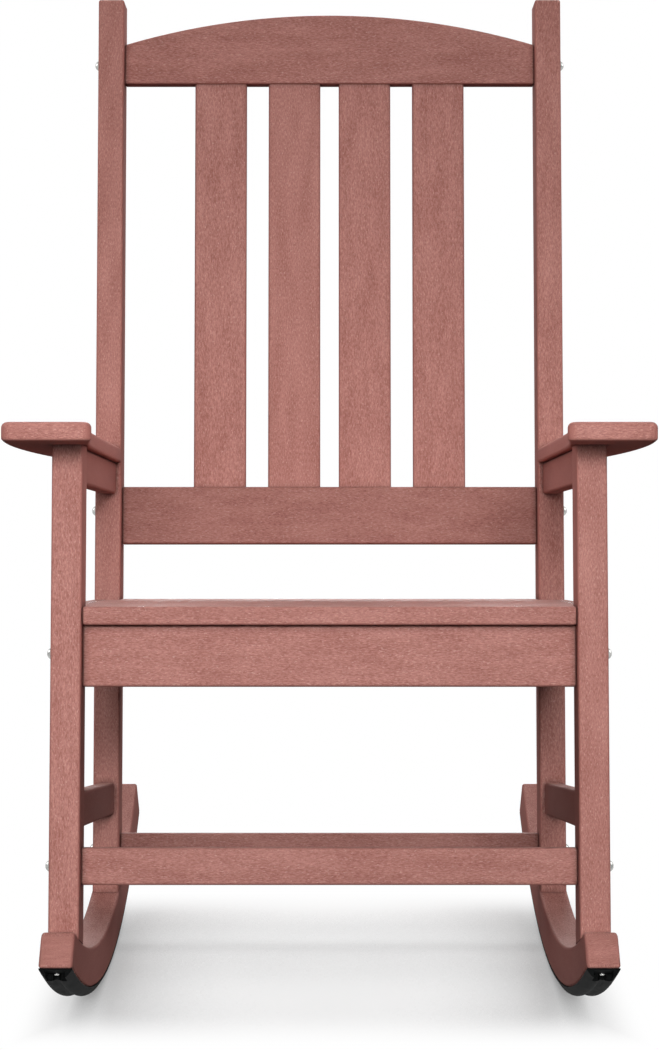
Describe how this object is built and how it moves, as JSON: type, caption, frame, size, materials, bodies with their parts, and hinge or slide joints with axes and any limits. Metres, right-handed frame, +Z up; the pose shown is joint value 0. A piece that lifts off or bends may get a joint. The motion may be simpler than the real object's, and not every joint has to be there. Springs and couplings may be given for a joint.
{
  "type": "rocking chair",
  "caption": "Porch rocking chair in solid plastic lumber: slatted seat, tall slatted back under an arched top rail, wide flat arms and curved rockers with rubber treads.",
  "frame": {"origin": "on the floor, under the middle of the rockers' length, halfway between them", "axes": "+Z up, -Y towards the front of the chair, +X to the right as seen from the front"},
  "size_m": [0.669, 0.8527, 1.1399],
  "materials": {
    "lumber": "solid terracotta red plastic lumber with faint light flecks and streaks",
    "rubber": "black moulded rubber",
    "steel": "plain stainless steel"
  },
  "bodies": {
    "root": {"arm_rail_left": "lumber", "arm_rail_right": "lumber", "armrest_left": "lumber", "armrest_right": "lumber", "armrest_screws_left": "steel", "armrest_screws_right": "steel", "back_post_left": "lumber", "back_post_right": "lumber", "back_slat_1": "lumber", "back_slat_2": "lumber", "back_slat_3": "lumber", "back_slat_4": "lumber", "front_apron": "lumber", "front_apron_bolts": "steel", "front_leg_left": "lumber", "front_leg_right": "lumber", "front_stretcher": "lumber", "front_stretcher_bolts": "steel", "leg_foot_screws_left": "steel", "leg_foot_screws_right": "steel", "lower_back_rail": "lumber", "lower_back_rail_bolts": "steel", "post_foot_screws_left": "steel", "post_foot_screws_right": "steel", "rear_seat_rail": "lumber", "rear_seat_rail_bolts": "steel", "rear_stretcher": "lumber", "rear_stretcher_bolts": "steel", "rocker_left": "lumber", "rocker_right": "lumber", "rocker_tread_left": "rubber", "rocker_tread_right": "rubber", "seat_side_rail_left": "lumber", "seat_side_rail_right": "lumber", "seat_slat_1": "lumber", "seat_slat_2": "lumber", "seat_slat_3": "lumber", "seat_slat_4": "lumber", "seat_slat_5": "lumber", "seat_slat_6": "lumber", "seat_slat_7": "lumber", "seat_slat_screws": "steel", "side_stretcher_left": "lumber", "side_stretcher_right": "lumber", "top_rail": "lumber", "top_rail_bolts": "steel", "tread_screws_left": "steel", "tread_screws_right": "steel"}
  },
  "joints": []
}
